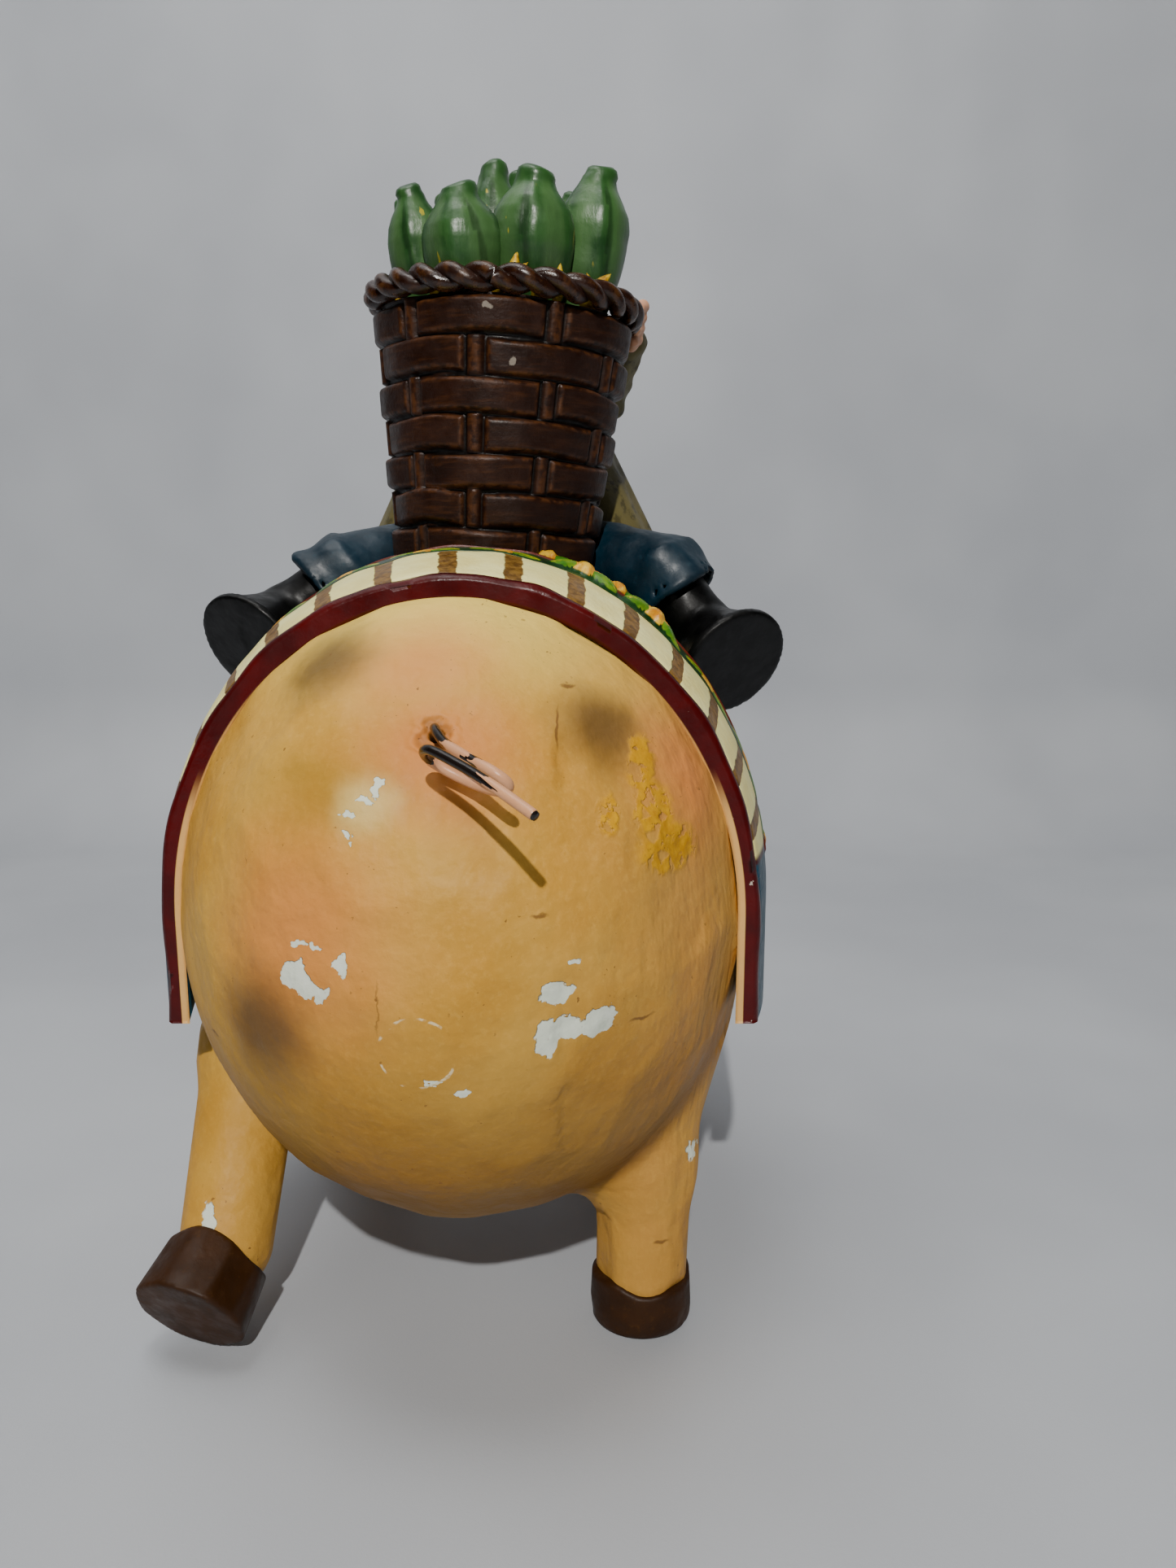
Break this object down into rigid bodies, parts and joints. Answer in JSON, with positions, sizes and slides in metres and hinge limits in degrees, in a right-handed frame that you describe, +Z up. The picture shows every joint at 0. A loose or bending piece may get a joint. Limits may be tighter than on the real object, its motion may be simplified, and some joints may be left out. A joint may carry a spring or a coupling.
{
  "type": "pig and rider figurine",
  "caption": "Free-standing painted figurine of a round pig with a saddle blanket, a seated rider and a basket of husked corn; its curled wire tail turns in a drilled hole.",
  "frame": {"origin": "on the floor, under the middle of the whole figure's bounding box", "axes": "+Z up, +Y towards the snout, +X to the pig's right-hand side as seen from behind"},
  "size_m": [0.0948, 0.1536, 0.1715],
  "materials": {
    "body_paint": "matte, hand painted",
    "snout_paint": "matte, hand painted",
    "eye_paint": "gloss",
    "hoof_paint": "semi-gloss",
    "tail_wire": "matte paint, chipped to black wire",
    "blanket_paint": "semi-gloss",
    "maroon_paint": "semi-gloss",
    "cream_paint": "satin",
    "leaf_paint": "satin",
    "basket_paint": "semi-gloss, dry brushed",
    "filling_paint": "satin",
    "husk_paint": "semi-gloss",
    "trouser_paint": "satin",
    "boot_paint": "gloss",
    "tunic_paint": "satin, patterned",
    "hem_paint": "satin",
    "skin_paint": "satin",
    "hair_paint": "satin"
  },
  "bodies": {
    "figure": {"pig_body": "body_paint", "pig_head": "body_paint", "pig_snout": "snout_paint", "left_ear": "body_paint", "right_ear": "body_paint", "left_eye": "eye_paint", "right_eye": "eye_paint", "front_left_leg": "body_paint", "front_right_leg": "body_paint", "rear_left_leg": "body_paint", "rear_right_leg": "body_paint", "front_left_hoof": "hoof_paint", "front_right_hoof": "hoof_paint", "rear_left_hoof": "hoof_paint", "rear_right_hoof": "hoof_paint", "blanket": "blanket_paint", "rear_edging": "maroon_paint", "rear_band": "cream_paint", "front_edging": "maroon_paint", "front_band": "cream_paint", "leaf_border": "leaf_paint", "basket": "basket_paint", "basket_rim": "basket_paint", "basket_filling": "filling_paint", "corn_1": "husk_paint", "corn_2": "husk_paint", "corn_3": "husk_paint", "corn_4": "husk_paint", "corn_5": "husk_paint", "corn_6": "husk_paint", "corn_7": "husk_paint", "corn_8": "husk_paint", "corn_9": "husk_paint", "corn_10": "husk_paint", "trousers_seat": "trouser_paint", "left_trouser_leg": "trouser_paint", "right_trouser_leg": "trouser_paint", "left_cuff": "trouser_paint", "right_cuff": "trouser_paint", "left_boot": "boot_paint", "right_boot": "boot_paint", "tunic": "tunic_paint", "tunic_hem": "hem_paint", "left_arm": "tunic_paint", "right_arm": "tunic_paint", "left_hand": "skin_paint", "right_hand": "skin_paint", "rider_head": "skin_paint", "rider_hair": "hair_paint"},
    "tail": {"tail_wire": "tail_wire"}
  },
  "joints": [
    {"name": "tail_turn", "type": "hinge", "parent": "figure", "child": "tail", "pos_m": [-0.00107, -0.05713, 0.09159], "axis": [0, -0.7593, 0.6507], "continuous": true}
  ]
}
